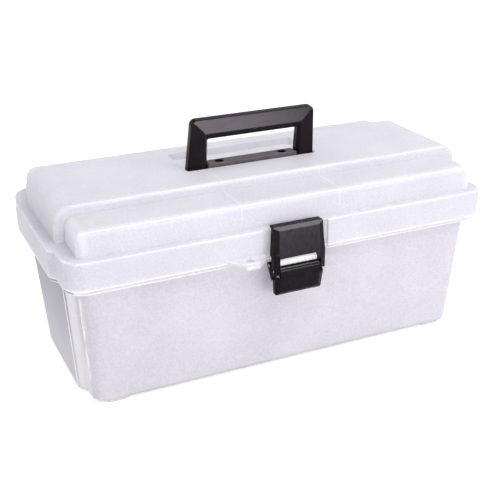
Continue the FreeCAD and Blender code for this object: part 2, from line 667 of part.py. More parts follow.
def hook_pin():
    """Steel pin through the lever's barrel and the hook's arms."""
    return pin(LATCH_PIN_RADIUS, HOOK_WIDTH / 2 - SIDE_PLAY, HOOK_PIVOT)


PIECES = {
    "base_tub": base_tub,
    "lid_shell": lid_shell,
    "handle_grip": handle_grip,
    "handle_strap": handle_strap,
    "handle_screws": handle_screws,
    "latch_lever": latch_lever,
    "latch_hook_plate": latch_hook_plate,
    "latch_lever_pin": lever_pin,
    "latch_hook_pin": hook_pin,
    "hinge_pin_left": lambda: hinge_pin(-1),
    "hinge_pin_right": lambda: hinge_pin(1),
}

os.makedirs("parts", exist_ok=True)
for name, make in PIECES.items():
    shape = make()
    shape.exportStep(os.path.join("parts", name + ".step"))
    box = shape.BoundBox
    print("%-18s solids %d valid %s volume %9.1f  x %7.1f %7.1f  y %6.1f %6.1f  z %6.1f %6.1f" % (
        name, len(shape.Solids), shape.isValid(), shape.Volume,
        box.XMin, box.XMax, box.YMin, box.YMax, box.ZMin, box.ZMax))
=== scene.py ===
"""Art supply box: frosted tub and stepped lid, black folding handle and black draw latch.

Metres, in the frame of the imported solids: X along the length, Y from front to back, Z up.
"""
import bmesh
import bpy
import json
import math
from mathutils import Matrix, Vector
from mathutils.bvhtree import BVHTree

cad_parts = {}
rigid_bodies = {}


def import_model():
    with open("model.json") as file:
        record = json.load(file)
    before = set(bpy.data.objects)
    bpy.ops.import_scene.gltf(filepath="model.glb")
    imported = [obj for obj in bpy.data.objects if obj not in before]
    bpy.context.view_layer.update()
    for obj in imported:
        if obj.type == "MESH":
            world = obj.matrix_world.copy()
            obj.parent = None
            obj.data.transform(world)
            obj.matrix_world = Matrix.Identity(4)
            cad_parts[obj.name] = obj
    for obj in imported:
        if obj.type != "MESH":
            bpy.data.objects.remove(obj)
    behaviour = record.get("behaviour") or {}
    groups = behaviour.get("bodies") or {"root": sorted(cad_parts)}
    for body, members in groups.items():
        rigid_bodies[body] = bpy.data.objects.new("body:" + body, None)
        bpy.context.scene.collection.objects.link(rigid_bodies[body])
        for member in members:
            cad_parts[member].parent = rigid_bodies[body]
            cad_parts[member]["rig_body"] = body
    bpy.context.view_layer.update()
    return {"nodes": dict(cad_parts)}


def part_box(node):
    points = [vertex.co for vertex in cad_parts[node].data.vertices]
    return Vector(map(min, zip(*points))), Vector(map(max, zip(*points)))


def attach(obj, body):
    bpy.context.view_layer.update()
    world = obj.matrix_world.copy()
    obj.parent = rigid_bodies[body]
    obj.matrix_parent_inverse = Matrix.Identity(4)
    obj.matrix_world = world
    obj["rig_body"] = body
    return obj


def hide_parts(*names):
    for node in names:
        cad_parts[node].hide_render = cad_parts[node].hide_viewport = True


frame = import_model()


# Tub
# The tub is one injection moulding of milky polypropylene with a frosted tool finish.
# Rim, feet, latch lugs and hinge knuckles come out of the same tool, so it is one piece.

MERGE_DISTANCE = 2e-6
FLAT_ANGLE = math.radians(0.5)
SMOOTH_ANGLE = math.radians(34)
RUN_ON_ANGLE = math.radians(150)
NEIGHBOUR_SHARE = 0.42
EDGE_STEPS = 2
ROUND_PROFILE = 0.5
STRIP_INDEX = 1
EDGE_ROUNDS = 4
CLEAR_OF_CROSSING = 1.6


def plain_mesh(piece):
    """Turns an object's live modifiers into its own mesh."""
    made = piece.evaluated_get(bpy.context.evaluated_depsgraph_get())
    piece.data = bpy.data.meshes.new_from_object(made)
    piece.modifiers.clear()


def edge_room(edge):
    """Width that fits on both sides of an edge without reaching its neighbours."""
    room = math.inf
    for loop in edge.link_loops:
        for beside in (loop.link_loop_prev.edge, loop.link_loop_next.edge):
            corner = next(vert for vert in edge.verts if vert in beside.verts)
            along = edge.other_vert(corner).co - corner.co
            across = beside.other_vert(corner).co - corner.co
            opening = along.angle(across)
            if opening < RUN_ON_ANGLE:
                room = min(room, NEIGHBOUR_SHARE * across.length * math.sin(opening))
    return room


def crossing_points(shape):
    """Corners of triangles that cut through others of the same shape."""
    cut = shape.copy()
    bmesh.ops.triangulate(cut, faces=cut.faces)
    cut.faces.ensure_lookup_table()
    tree = BVHTree.FromBMesh(cut)
    points = []
    for first, second in tree.overlap(tree):
        pair = cut.faces[first], cut.faces[second]
        if first < second and not set(pair[0].verts) & set(pair[1].verts):
            smaller = min(pair, key=lambda face: face.calc_area())
            points += [vert.co.copy() for vert in smaller.verts]
    cut.free()
    return points


def rounded_off(shape, edges, width):
    """Copy of a shape with the given edges rounded; the new strips carry their own index."""
    copy = shape.copy()
    copy.edges.ensure_lookup_table()
    bmesh.ops.bevel(copy, geom=[copy.edges[edge.index] for edge in edges], offset=width,
                    offset_type="OFFSET", segments=EDGE_STEPS, profile=ROUND_PROFILE, affect="EDGES",
                    clamp_overlap=False, loop_slide=True, material=STRIP_INDEX)
    return copy


def near_any(edge, points, reach):
    """Whether an edge passes within reach of any of the points."""
    start = edge.verts[0].co
    along = edge.verts[1].co - start
    for point in points:
        share = max(0.0, min(1.0, (point - start).dot(along) / along.length_squared))
        if (start + along * share - point).length < reach:
            return True
    return False


def broken_edges(shape, width, break_angle, step):
    """Copy of a shape whose outer edges are rounded wherever the rounding has room."""
    sharp = [edge for edge in shape.edges if edge.calc_face_angle_signed(0.0) > break_angle]
    for edge in sharp:
        pieces = int(edge.calc_length() / step) + 1
        for left in range(pieces, 1, -1):
            middle = bmesh.utils.edge_split(edge, edge.verts[0], 1.0 / left)[1]
            edge = max(middle.link_edges, key=lambda part: part.calc_length())
    shape.edges.index_update()
    shape.normal_update()
    kept = [edge for edge in shape.edges
            if edge.calc_face_angle_signed(0.0) > break_angle and edge_room(edge) > width]
    for attempt in range(EDGE_ROUNDS):
        rounded = rounded_off(shape, kept, width)
        points = crossing_points(rounded)
        clear = [edge for edge in kept if not near_any(edge, points, CLEAR_OF_CROSSING * width)]
        if len(clear) == len(kept) or attempt == EDGE_ROUNDS - 1:
            return rounded
        rounded.free()
        kept = clear


def moulded_copy(name, node, width, break_angle, step):
    """Joined copy of a solid's mesh, its outer edges broken as a moulding tool leaves them."""
    source = frame["nodes"][node]
    mesh = source.data.copy()
    mesh.materials.clear()
    shape = bmesh.new()
    shape.from_mesh(mesh)
    bmesh.ops.remove_doubles(shape, verts=shape.verts, dist=MERGE_DISTANCE)
    bmesh.ops.dissolve_limit(shape, angle_limit=FLAT_ANGLE, verts=shape.verts, edges=shape.edges)
    rounded = broken_edges(shape, width, break_angle, step)
    rounded.to_mesh(mesh)
    rounded.free()
    shape.free()
    if "custom_normal" in mesh.attributes:
        mesh.attributes.remove(mesh.attributes["custom_normal"])
    mesh.shade_smooth()
    mesh.set_sharp_from_angle(angle=SMOOTH_ANGLE)
    # Empty slots up to the strips' own index, so that the next mesh keeps that index.
    for _ in range(STRIP_INDEX + 1):
        mesh.materials.append(None)
    piece = bpy.data.objects.new(name, mesh)
    bpy.context.scene.collection.objects.link(piece)
    even = piece.modifiers.new("flat faces stay flat", "WEIGHTED_NORMAL")
    even.keep_sharp = True
    plain_mesh(piece)
    piece.data.name = name
    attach(piece, source["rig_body"])
    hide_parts(node)
    return piece


def finished(piece, material):
    """One material over the whole of a piece."""
    piece.data.materials.clear()
    piece.data.materials.append(material)
    piece.data.polygons.foreach_set("material_index", [0] * len(piece.data.polygons))


STRIP_WIDTH = 0.0009
STRIP_SLIMNESS = 4.0
STRIP_TURN = math.radians(8)
UPRIGHT_HEIGHT = 0.010
# Parts of a face's normal that tell the strip of a level edge from an upright bulge corner.
BETWEEN_SIDES = 0.80
LEAST_SLOPE = 0.35
UPRIGHT_SLOPE = 0.15
BULGE_CORNER_TURN = (0.885, 0.992)


def mark_painted_edge_highlights(piece, show):
    """Marks the strips down the middle of outer edges for a painted highlight that whitens them and
    makes them glow.
    """
    shape = bmesh.new()
    shape.from_mesh(piece.data)
    bright = []
    for face in shape.faces:
        length = max(edge.calc_length() for edge in face.edges)
        width = face.calc_area() / length
        turns = sorted(edge.calc_face_angle_signed(0.0) for edge in face.edges)
        rounded = turns[-1] + turns[-2] > STRIP_TURN and turns[0] > -STRIP_TURN
        slim = width < STRIP_WIDTH and length > STRIP_SLIMNESS * width
        slope = abs(face.normal.z)
        oblique = max(abs(part) for part in face.normal) < BETWEEN_SIDES
        strip = face.material_index == STRIP_INDEX or (rounded and slim and oblique)
        level = slope > LEAST_SLOPE and strip
        upright = (slope < UPRIGHT_SLOPE and length > UPRIGHT_HEIGHT and slim
                   and BULGE_CORNER_TURN[0] < abs(face.normal.x) < BULGE_CORNER_TURN[1])
        bright.append(show if level or upright else 0.0)
    shape.free()
    # The mark's value is the strength of the painted edge highlight on each face.
    mark = piece.data.attributes.new("painted_edge_highlight", "FLOAT", "FACE")
    mark.data.foreach_set("value", bright)


GRAIN_DETAIL = 3.0
GRAIN_ROUGHNESS = 0.6
MOTTLE_DETAIL = 5.0
MOTTLE_ROUGHNESS = 0.55


def moulded_grain_group():
    """Shader node group: a fine tool grain and a broad mottle over the coordinates it is given."""
    group = bpy.data.node_groups.new("moulded grain", "ShaderNodeTree")
    for label, kind in (("Coordinates", "NodeSocketVector"), ("Grain per metre", "NodeSocketFloat"),
                        ("Mottle per metre", "NodeSocketFloat")):
        group.interface.new_socket(name=label, in_out="INPUT", socket_type=kind)
    for label in ("Grain", "Mottle"):
        group.interface.new_socket(name=label, in_out="OUTPUT", socket_type="NodeSocketFloat")
    given = group.nodes.new("NodeGroupInput")
    result = group.nodes.new("NodeGroupOutput")
    for label, detail, roughness in (("Grain", GRAIN_DETAIL, GRAIN_ROUGHNESS),
                                     ("Mottle", MOTTLE_DETAIL, MOTTLE_ROUGHNESS)):
        noise = group.nodes.new("ShaderNodeTexNoise")
        noise.inputs["Detail"].default_value = detail
        noise.inputs["Roughness"].default_value = roughness
        group.links.new(given.outputs["Coordinates"], noise.inputs["Vector"])
        group.links.new(given.outputs[label + " per metre"], noise.inputs["Scale"])
        group.links.new(noise.outputs["Fac"], result.inputs[label])
    return group


grain_group = moulded_grain_group()


def grained(tree, coordinates, grain, mottle):
    """The shared grain, placed with its own sizes; returns grain and mottle."""
    node = tree.nodes.new("ShaderNodeGroup")
    node.node_tree = grain_group
    tree.links.new(coordinates, node.inputs["Coordinates"])
    node.inputs["Grain per metre"].default_value = grain
    node.inputs["Mottle per metre"].default_value = mottle
    return node.outputs["Grain"], node.outputs["Mottle"]


def new_material(name):
    """Material with a Principled shader; returns it with its tree, shader and Object coordinates."""
    material = bpy.data.materials.new(name)
    material.use_nodes = True
    tree = material.node_tree
    shader = tree.nodes["Principled BSDF"]
    place = tree.nodes.new("ShaderNodeTexCoord")
    return material, tree, shader, place.outputs["Object"]


def math_node(tree, operation, *values):
    """Math node fed by sockets or plain numbers; returns its output."""
    node = tree.nodes.new("ShaderNodeMath")
    node.operation = operation
    for place, value in enumerate(values):
        if hasattr(value, "is_linked"):
            tree.links.new(value, node.inputs[place])
        else:
            node.inputs[place].default_value = value
    return node.outputs[0]


def product(tree, result, *others):
    """Several sockets or numbers multiplied together."""
    for other in others:
        result = math_node(tree, "MULTIPLY", result, other)
    return result


def greatest(tree, result, *others):
    """The greatest of several sockets."""
    for other in others:
        result = math_node(tree, "MAXIMUM", result, other)
    return result


def colour_mix(tree, factor, low, high):
    """Colour between two others by a factor socket; returns its output."""
    node = tree.nodes.new("ShaderNodeMix")
    node.data_type = "RGBA"
    tree.links.new(factor, node.inputs["Factor"])
    for label, value in (("A", low), ("B", high)):
        socket = next(entry for entry in node.inputs if entry.name == label and entry.type == "RGBA")
        if hasattr(value, "is_linked"):
            tree.links.new(value, socket)
        else:
            socket.default_value = (*value, 1.0)
    return next(entry for entry in node.outputs if entry.type == "RGBA")


def ranged(tree, value, given, wanted):
    """Value carried from one (low, high) range to another, held at its ends."""
    node = tree.nodes.new("ShaderNodeMapRange")
    tree.links.new(value, node.inputs["Value"])
    for label, number in zip(("From Min", "From Max", "To Min", "To Max"), (*given, *wanted)):
        node.inputs[label].default_value = number
    return node.outputs["Result"]


def bumped(tree, height, depth, shader):
    """Surface relief of a given depth from a height socket."""
    node = tree.nodes.new("ShaderNodeBump")
    node.inputs["Distance"].default_value = depth
    tree.links.new(height, node.inputs["Height"])
    tree.links.new(node.outputs["Normal"], shader.inputs["Normal"])


OFF_TO_FULL = (0.0, 1.0)
FULL_TO_OFF = (1.0, 0.0)


def above(tree, value, limit, fade):
    """One above a limit, fading to nothing just below it."""
    return ranged(tree, value, (limit - fade, limit), OFF_TO_FULL)


def below(tree, value, limit, fade):
    """One below a limit, fading to nothing just above it."""
    return ranged(tree, value, (limit, limit + fade), FULL_TO_OFF)


def between(tree, value, low, high, fade):
    """One between two limits, fading to nothing just outside them."""
    return product(tree, above(tree, value, low, fade), below(tree, value, high, fade))


def split_place(tree, coordinates):
    """X, Y and Z of a place, as sockets to pick by name."""
    node = tree.nodes.new("ShaderNodeSeparateXYZ")
    tree.links.new(coordinates, node.inputs["Vector"])
    return node.outputs


def from_middle(tree, value):
    """Distance from the box's middle, the same on both sides."""
    return math_node(tree, "ABSOLUTE", value)


# Grain and clouds are counted per metre, and the relief is in metres.
PEBBLES = 620.0
PEBBLE_DEPTH = 0.0003
CLOUDS = 26.0
CLOUD_SHARE = 0.5
CLOUD_RANGE = (0.5, 1.0)
GRAIN_RANGE = (0.3, 0.7)
FROST_ROUGHNESS = (0.30, 0.44)
FROST_IOR = 1.49
FROST_GLOSS = 0.03
FROST_GLOSS_TINT = (0.15, 0.15, 0.15, 1.0)
FROST_CLEARNESS = 0.40
# Colour of the painted shade on the tub's ends.
PAINTED_SHADE_TINT = (0.33, 0.32, 0.38)
PAINTED_LIGHT_WHITE = (1.0, 1.0, 1.0)
PAINTED_LIGHT_NONE = (0.0, 0.0, 0.0)
PAINTED_GLOW_STRENGTH = 0.25


def frosted_plastic(name, milk, haze, painted_glow, depth):
    """Milky polypropylene: cloudy tint and pebbled frost, with painted highlights that turn edges and
    other marked places white and make them glow, and painted shade where a mask is given.
    """
    material, tree, shader, coordinates = new_material(name)
    grain, mottle = grained(tree, coordinates, PEBBLES, CLOUDS)
    cloud = math_node(tree, "ADD", grain, product(tree, mottle, CLOUD_SHARE))
    tint = colour_mix(tree, ranged(tree, cloud, CLOUD_RANGE, OFF_TO_FULL), haze, milk)
    # Painted shade, where a mask is given, darkens the tint.
    if depth:
        tint = colour_mix(tree, depth(tree, coordinates), tint, PAINTED_SHADE_TINT)
    # Painted highlight and glow: the marked edge strips and the painted glow mix the base towards white
    # and set the emission.
    mark = tree.nodes.new("ShaderNodeAttribute")
    mark.attribute_name = "painted_edge_highlight"
    painted_light = greatest(tree, mark.outputs["Fac"], painted_glow(tree, coordinates))
    tree.links.new(colour_mix(tree, painted_light, tint, PAINTED_LIGHT_WHITE), shader.inputs["Base Color"])
    tree.links.new(colour_mix(tree, painted_light, PAINTED_LIGHT_NONE, PAINTED_LIGHT_WHITE), shader.inputs["Emission Color"])
    tree.links.new(ranged(tree, grain, GRAIN_RANGE, FROST_ROUGHNESS), shader.inputs["Roughness"])
    bumped(tree, grain, PEBBLE_DEPTH, shader)
    shader.inputs["IOR"].default_value = FROST_IOR
    shader.inputs["Specular IOR Level"].default_value = FROST_GLOSS
    shader.inputs["Specular Tint"].default_value = FROST_GLOSS_TINT
    shader.inputs["Transmission Weight"].default_value = FROST_CLEARNESS
    shader.inputs["Emission Strength"].default_value = PAINTED_GLOW_STRENGTH
    return material


def node_middle(node):
    """Middle of a solid's box."""
    low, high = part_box(node)
    return (low + high) / 2


hinge_axis = node_middle("hinge_pin_left")
lever_axis = node_middle("latch_lever_pin")
lever_pin_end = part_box("latch_lever_pin")[1].x
tub_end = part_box("base_tub")[1].x

# Places of the painted light on the tub: the latch lug, a line along the rim and the bulge sides.
LUG_HALF_WIDTH = lever_pin_end - 0.0032
LUG_FRONT = lever_axis.y + 0.0004
LUG_LOW = lever_axis.z - 0.0037
LUG_HIGH = lever_axis.z + 0.0048
LUG_SIDE_FADE = 0.0002
LUG_FRONT_FADE = 0.001
LUG_HEIGHT_FADE = 0.0005
RIM_LOW = hinge_axis.z - 0.0024
RIM_HIGH = hinge_axis.z - 0.0014
RIM_REACH = hinge_axis.y - 0.0062
RIM_HEIGHT_FADE = 0.0002
RIM_REACH_FADE = 0.0003
RIM_PAINTED_LIGHT = 0.6
END_LEAN = math.tan(math.radians(4))
BULGE_SIDE_LOW = tub_end - 0.0183
BULGE_SIDE_HIGH = tub_end - 0.0146
BULGE_SIDE_FADE = 0.0005
BULGE_SIDE_PAINTED_LIGHT = 0.3


def end_distance(tree, place):
    """How far out towards an end of the tub a place lies, along its leaning end wall."""
    lean = product(tree, place["Z"], END_LEAN)
    return math_node(tree, "SUBTRACT", from_middle(tree, place["X"]), lean)


def painted_tub_glow(tree, coordinates):
    """Painted light on the latch lug, a line along the rim and the bulge sides, which whitens them and
    makes them glow.
    """
    place = split_place(tree, coordinates)
    lug = product(tree, below(tree, from_middle(tree, place["X"]), LUG_HALF_WIDTH, LUG_SIDE_FADE),
                  below(tree, place["Y"], LUG_FRONT, LUG_FRONT_FADE),
                  between(tree, place["Z"], LUG_LOW, LUG_HIGH, LUG_HEIGHT_FADE))
    rim = product(tree, between(tree, place["Z"], RIM_LOW, RIM_HIGH, RIM_HEIGHT_FADE),
                  below(tree, from_middle(tree, place["Y"]), RIM_REACH, RIM_REACH_FADE), RIM_PAINTED_LIGHT)
    out = end_distance(tree, place)
    side = product(tree, between(tree, out, BULGE_SIDE_LOW, BULGE_SIDE_HIGH, BULGE_SIDE_FADE),
                   BULGE_SIDE_PAINTED_LIGHT)
    return greatest(tree, lug, rim, side)


END_FACE = tub_end - 0.0140
END_FADE = 0.0008
END_SHADE_HEIGHTS = (0.010, 0.085)
END_SHADE_LEVELS = (0.15, 0.85)


def painted_end_shade(tree, coordinates):
    """Painted shade on the tub's end bulges, growing darker towards the rim."""
    place = split_place(tree, coordinates)
    face = above(tree, end_distance(tree, place), END_FACE, END_FADE)
    return product(tree, face, ranged(tree, place["Z"], END_SHADE_HEIGHTS, END_SHADE_LEVELS))


TUB_ROUNDING = 0.0004
# Strength of the painted highlight on the tub's edges.
TUB_PAINTED_EDGE_HIGHLIGHT = 1.0
SHELL_BREAK_ANGLE = math.radians(30)
# Longer than any edge, so the shells' edges are rounded unsplit.
WHOLE_EDGE = 1.0
TUB_MILK = (0.92, 0.90, 0.96)
TUB_HAZE = (0.76, 0.74, 0.80)

tub = moulded_copy("tub", "base_tub", TUB_ROUNDING, SHELL_BREAK_ANGLE, WHOLE_EDGE)
mark_painted_edge_highlights(tub, TUB_PAINTED_EDGE_HIGHLIGHT)
finished(tub, frosted_plastic("frosted tub plastic", TUB_MILK, TUB_HAZE, painted_tub_glow, painted_end_shade))


# Hinge pins
# Two plain steel wires, cut to length and pressed through the knuckles at the back.
# Each joins two knuckles of the tub with one of the lid.

PIN_SIDES = 32
PIN_CHAMFER = 0.0004


def turned_mesh(name, profile, sides):
    """Closed solid of revolution about X from (x, radius) points that start and end on the axis."""
    shape = bmesh.new()
    rings = []
    for x, radius in profile:
        if radius == 0:
            rings.append([shape.verts.new((x, 0, 0))])
            continue
        ring = []
        for side in range(sides):
            turn = math.tau * side / sides
            ring.append(shape.verts.new((x, radius * math.cos(turn), radius * math.sin(turn))))
        rings.append(ring)
    for low, high in zip(rings, rings[1:]):
        for side in range(sides):
            after = (side + 1) % sides
            corners = [low[side % len(low)], low[after % len(low)],
                       high[after % len(high)], high[side % len(high)]]
            shape.faces.new(list(dict.fromkeys(corners)))
    bmesh.ops.recalc_face_normals(shape, faces=shape.faces)
    mesh = bpy.data.meshes.new(name)
    shape.to_mesh(mesh)
    shape.free()
    return mesh


def row_group():
    """Geometry node tree: a piece repeated in a straight row, in one material."""
    tree = bpy.data.node_groups.new("row of like pieces", "GeometryNodeTree")
    sockets = {}
    for label, kind in (("Geometry", "NodeSocketGeometry"), ("Count", "NodeSocketInt"),
                        ("First place", "NodeSocketVector"), ("Step", "NodeSocketVector"),
                        ("Finish", "NodeSocketMaterial")):
        entry = tree.interface.new_socket(name=label, in_out="INPUT", socket_type=kind)
        sockets[label] = entry.identifier
    tree.interface.new_socket(name="Geometry", in_out="OUTPUT", socket_type="NodeSocketGeometry")
    given = tree.nodes.new("NodeGroupInput")
    row = tree.nodes.new("GeometryNodeMeshLine")
    row.mode = "OFFSET"
    placed = tree.nodes.new("GeometryNodeInstanceOnPoints")
    real = tree.nodes.new("GeometryNodeRealizeInstances")
    finish = tree.nodes.new("GeometryNodeSetMaterial")
    result = tree.nodes.new("NodeGroupOutput")
    tree.links.new(given.outputs["Count"], row.inputs["Count"])
    tree.links.new(given.outputs["First place"], row.inputs["Start Location"])
    tree.links.new(given.outputs["Step"], row.inputs["Offset"])
    tree.links.new(row.outputs["Mesh"], placed.inputs["Points"])
    tree.links.new(given.outputs["Geometry"], placed.inputs["Instance"])
    tree.links.new(placed.outputs["Instances"], real.inputs["Geometry"])
    tree.links.new(real.outputs["Geometry"], finish.inputs["Geometry"])
    tree.links.new(given.outputs["Finish"], finish.inputs["Material"])
    tree.links.new(finish.outputs["Geometry"], result.inputs["Geometry"])
    return tree, sockets


row_tree, row_sockets = row_group()


def repeated(name, mesh, count, first, step, material):
    """Plain mesh of a piece repeated in a row by the node tree."""
    piece = bpy.data.objects.new(name, mesh)
    bpy.context.scene.collection.objects.link(piece)
    row = piece.modifiers.new("row", "NODES")
    row.node_group = row_tree
    row[row_sockets["Count"]] = count
    row[row_sockets["First place"]] = first
    row[row_sockets["Step"]] = step
    row[row_sockets["Finish"]] = material
    plain_mesh(piece)
    piece.data.name = name
    piece.data.shade_smooth()
    piece.data.set_sharp_from_angle(angle=SMOOTH_ANGLE)
    return piece


DRAW_STRETCH = 0.04
DRAW_LINES = 3000.0
DRAW_DEPTH = 0.00002
STEEL_MOTTLE = 300.0
STEEL_DULL = (0.46, 0.46, 0.48)
STEEL_CLEAN = (0.66, 0.66, 0.68)
STEEL_ROUGHNESS = (0.22, 0.42)


def drawn_steel():
    """Drawn steel wire: fine lines along its length, dulled a little."""
    material, tree, shader, coordinates = new_material("drawn steel wire")
    stretch = tree.nodes.new("ShaderNodeMapping")
    stretch.inputs["Scale"].default_value = (DRAW_STRETCH, 1.0, 1.0)
    tree.links.new(coordinates, stretch.inputs["Vector"])
    grain, mottle = grained(tree, stretch.outputs["Vector"], DRAW_LINES, STEEL_MOTTLE)
    tree.links.new(colour_mix(tree, mottle, STEEL_DULL, STEEL_CLEAN), shader.inputs["Base Color"])
    tree.links.new(ranged(tree, grain, GRAIN_RANGE, STEEL_ROUGHNESS), shader.inputs["Roughness"])
    bumped(tree, grain, DRAW_DEPTH, shader)
    shader.inputs["Metallic"].default_value = 1.0
    return material


def wire_pin(name, node):
    """Pin of a solid's own length and thickness, with chamfered ends, about its own middle."""
    low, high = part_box(node)
    half = (high.x - low.x) / 2
    radius = (high.z - low.z) / 2
    profile = [(-half, 0), (-half, radius - PIN_CHAMFER), (PIN_CHAMFER - half, radius),
               (half - PIN_CHAMFER, radius), (half, radius - PIN_CHAMFER), (half, 0)]
    return turned_mesh(name, profile, PIN_SIDES)


steel = drawn_steel()
hinge_pin_step = node_middle("hinge_pin_right") - hinge_axis
hinge_pins = repeated("hinge_pins", wire_pin("hinge pins", "hinge_pin_left"), 2,
                      hinge_axis, hinge_pin_step, steel)
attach(hinge_pins, "base")
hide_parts("hinge_pin_left", "hinge_pin_right")


# Lid
# The lid is a second moulding of the same frosted plastic, a stepped shell with a skirt.
# Ribs under its crown, the handle's pocket and the hinge knuckles are moulded in one with it.

lid_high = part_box("lid_shell")[1]
lid_end = lid_high.x
crown_top = lid_high.z
handle_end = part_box("handle_grip")[1].x

# Places of the painted light on the lid: ribs, skirt lip, handle pocket and the shelf's rounded ends.
RIB_PLACE = 0.0378
RIB_HALF_WIDTH = 0.0003
RIB_SIDE_FADE = 0.0005
RIB_BACK = -0.024
RIB_BACK_FADE = 0.004
RIB_LOW = crown_top - 0.017
RIB_LOW_FADE = 0.007
RIB_PAINTED_LIGHT = 0.22
LIP_TOP = hinge_axis.z + 0.0015
LIP_TOP_FADE = 0.0004
LIP_REACH = hinge_axis.y - 0.0053
LIP_REACH_FADE = 0.0001
LIP_PAINTED_LIGHT = 0.55
POCKET_HALF_LENGTH = handle_end + 0.0048
POCKET_FRONT = -0.014
POCKET_BACK = 0.0355
POCKET_SIDE_FADE = 0.0005
POCKET_LOW = crown_top - 0.0054
POCKET_HIGH = crown_top - 0.0004
POCKET_HEIGHT_FADE = 0.0003
POCKET_PAINTED_LIGHT = 0.17
SHELF_END_INNER = lid_end - 0.0185
SHELF_END_OUTER = lid_end - 0.013
SHELF_END_FADE = 0.003
SHELF_BACK = 0.0445
SHELF_LOW = crown_top - 0.0232
SHELF_FADE = 0.002
SHELF_END_PAINTED_LIGHT = 0.15


def painted_lid_glow(tree, coordinates):
    """Painted light in the lid's plastic: glowing lines over the ribs and the skirt lip, the handle's
    pocket lit against its shade, and the shelf's rounded ends whitened.
    """
    place = split_place(tree, coordinates)
    along = from_middle(tree, place["X"])
    across = from_middle(tree, place["Y"])
    rib_sides = RIB_PLACE - RIB_HALF_WIDTH, RIB_PLACE + RIB_HALF_WIDTH
    ribs = product(tree, between(tree, along, *rib_sides, RIB_SIDE_FADE),
                   below(tree, place["Y"], RIB_BACK, RIB_BACK_FADE),
                   above(tree, place["Z"], RIB_LOW, RIB_LOW_FADE), RIB_PAINTED_LIGHT)
    lip = product(tree, below(tree, place["Z"], LIP_TOP, LIP_TOP_FADE),
                  below(tree, across, LIP_REACH, LIP_REACH_FADE), LIP_PAINTED_LIGHT)
    pocket = product(tree, below(tree, along, POCKET_HALF_LENGTH, POCKET_SIDE_FADE),
                     between(tree, place["Y"], POCKET_FRONT, POCKET_BACK, POCKET_SIDE_FADE),
                     between(tree, place["Z"], POCKET_LOW, POCKET_HIGH, POCKET_HEIGHT_FADE), POCKET_PAINTED_LIGHT)
    shelf_ends = product(tree, between(tree, along, SHELF_END_INNER, SHELF_END_OUTER, SHELF_END_FADE),
                         above(tree, across, SHELF_BACK, SHELF_FADE),
                         above(tree, place["Z"], SHELF_LOW, SHELF_FADE), SHELF_END_PAINTED_LIGHT)
    return greatest(tree, ribs, lip, pocket, shelf_ends)


LID_ROUNDING = 0.0005
# Strength of the painted highlight on the lid's edges.
LID_PAINTED_EDGE_HIGHLIGHT = 0.40
LID_MILK = (0.91, 0.90, 0.96)
LID_HAZE = (0.77, 0.76, 0.82)

lid = moulded_copy("lid", "lid_shell", LID_ROUNDING, SHELL_BREAK_ANGLE, WHOLE_EDGE)
mark_painted_edge_highlights(lid, LID_PAINTED_EDGE_HIGHLIGHT)
finished(lid, frosted_plastic("frosted lid plastic", LID_MILK, LID_HAZE, painted_lid_glow, None))


# Handle strap
# A black moulded bar between the handle's feet, screwed down into the lid's bosses.
# Holes in its ends hold the handle's pivot stubs.

FLOW_STRETCH = 0.35
FLOW_MARKS = 160.0
FLOW_MARK_RANGE = (0.35, 0.7)
ROUGHNESS_SPREAD = 0.08
BLACK_GLOSS = 0.09
BLACK_GLOSS_TINT = (0.97, 0.86, 1.0, 1.0)
BLACK_BREAK_ANGLE = math.radians(13)
BLACK_EDGE_STEP = 0.003


def black_plastic(name, dark, worn, roughness, grain_count, grain_depth):
    """Black moulded plastic: tool grain, faint flow marks, satin gloss."""
    material, tree, shader, coordinates = new_material(name)
    flow = tree.nodes.new("ShaderNodeMapping")
    flow.inputs["Scale"].default_value = (1.0, 1.0, FLOW_STRETCH)
    tree.links.new(coordinates, flow.inputs["Vector"])
    grain, mottle = grained(tree, flow.outputs["Vector"], grain_count, FLOW_MARKS)
    marks = ranged(tree, mottle, FLOW_MARK_RANGE, OFF_TO_FULL)
    satin = ranged(tree, grain, GRAIN_RANGE, (roughness, roughness + ROUGHNESS_SPREAD))
    tree.links.new(colour_mix(tree, marks, dark, worn), shader.inputs["Base Color"])
    tree.links.new(satin, shader.inputs["Roughness"])
    bumped(tree, grain, grain_depth, shader)
    shader.inputs["Specular IOR Level"].default_value = BLACK_GLOSS
    shader.inputs["Specular Tint"].default_value = BLACK_GLOSS_TINT
    return material


def black_moulding(name, node, width, material):
    """A black piece made from its solid, with small moulded roundings."""
    piece = moulded_copy(name, node, width, BLACK_BREAK_ANGLE, BLACK_EDGE_STEP)
    finished(piece, material)


STRAP_ROUNDING = 0.0003
# The strap is its own black plastic with a painted sheen: its grey is lighter than the handle's to stand
# in for the bright room it reflects.
STRAP_DARK_WITH_SHEEN = (0.084, 0.069, 0.072)
STRAP_WORN_WITH_SHEEN = (0.110, 0.091, 0.095)
STRAP_ROUGHNESS = 0.36
FINE_GRAIN = 1500.0
STRAP_GRAIN_DEPTH = 0.00005

strap_black = black_plastic("strap plastic", STRAP_DARK_WITH_SHEEN, STRAP_WORN_WITH_SHEEN, STRAP_ROUGHNESS,
                            FINE_GRAIN, STRAP_GRAIN_DEPTH)
black_moulding("handle_strap_bar", "handle_strap", STRAP_ROUNDING, strap_black)


# Handle screws
# Two blackened pan-head screws with a cross recess, driven down through the strap.
# Their heads sit in round sinks, level with the strap's top.

HEAD_HEIGHT = 0.002
DOME_STEPS = 6
SHANK_SHARE = 0.53
TIP_SHARE = 0.7
TIP_LENGTH = 0.001
RECESS_DEPTH = 0.0012
RECESS_HALF_WIDTH = 0.00045
RECESS_REACH = 0.0019
RECESS_TAPER = 0.55
SCREW_SIDES = 40


